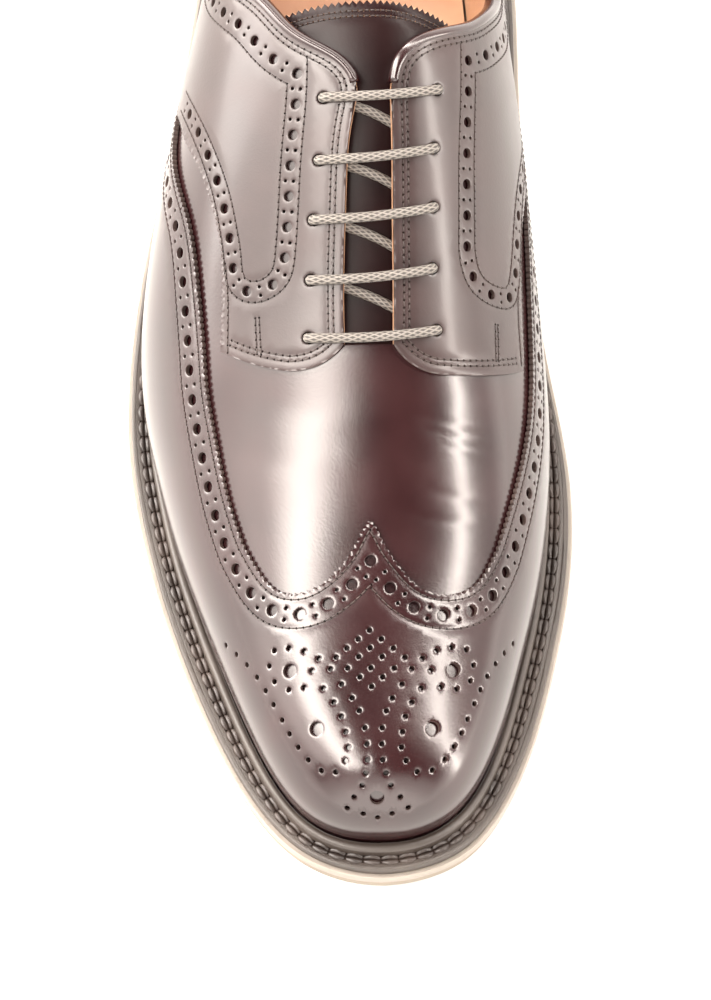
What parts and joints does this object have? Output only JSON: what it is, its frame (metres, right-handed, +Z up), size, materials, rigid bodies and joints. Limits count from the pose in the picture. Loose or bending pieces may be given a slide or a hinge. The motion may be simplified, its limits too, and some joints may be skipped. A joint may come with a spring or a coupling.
{
  "type": "longwing brogue",
  "caption": "Right men's longwing brogue: oxblood leather derby upper with pinked, perforated wings and toe medallion, on a dark storm welt, pale double sole and stacked heel.",
  "frame": {"origin": "on the floor, under the middle of the sole's bounding box", "axes": "+Z up, -Y towards the toe, +X towards the inner (medial) side of this right shoe"},
  "size_m": [0.1138, 0.304, 0.106],
  "materials": {
    "oxblood_leather": "polished, deep oxblood",
    "tan_lining": "matt natural tan",
    "waxed_cord": "round waxed cotton",
    "dark_welt": "dark brown, low sheen",
    "cream_midsole": "pale trimmed edge",
    "beige_rubber": "matt",
    "stacked_heel": "burnished lifts"
  },
  "bodies": {
    "root": {"outsole": "beige_rubber", "top_piece": "beige_rubber", "midsole": "cream_midsole", "welt": "dark_welt", "heel_stack": "stacked_heel", "insole": "tan_lining", "upper": "oxblood_leather", "wing_cap": "oxblood_leather", "quarter_lateral": "oxblood_leather", "quarter_medial": "oxblood_leather", "tongue": "oxblood_leather", "lace_bar_1": "waxed_cord", "lace_bar_2": "waxed_cord", "lace_bar_3": "waxed_cord", "lace_bar_4": "waxed_cord", "lace_bar_5": "waxed_cord"}
  },
  "joints": []
}
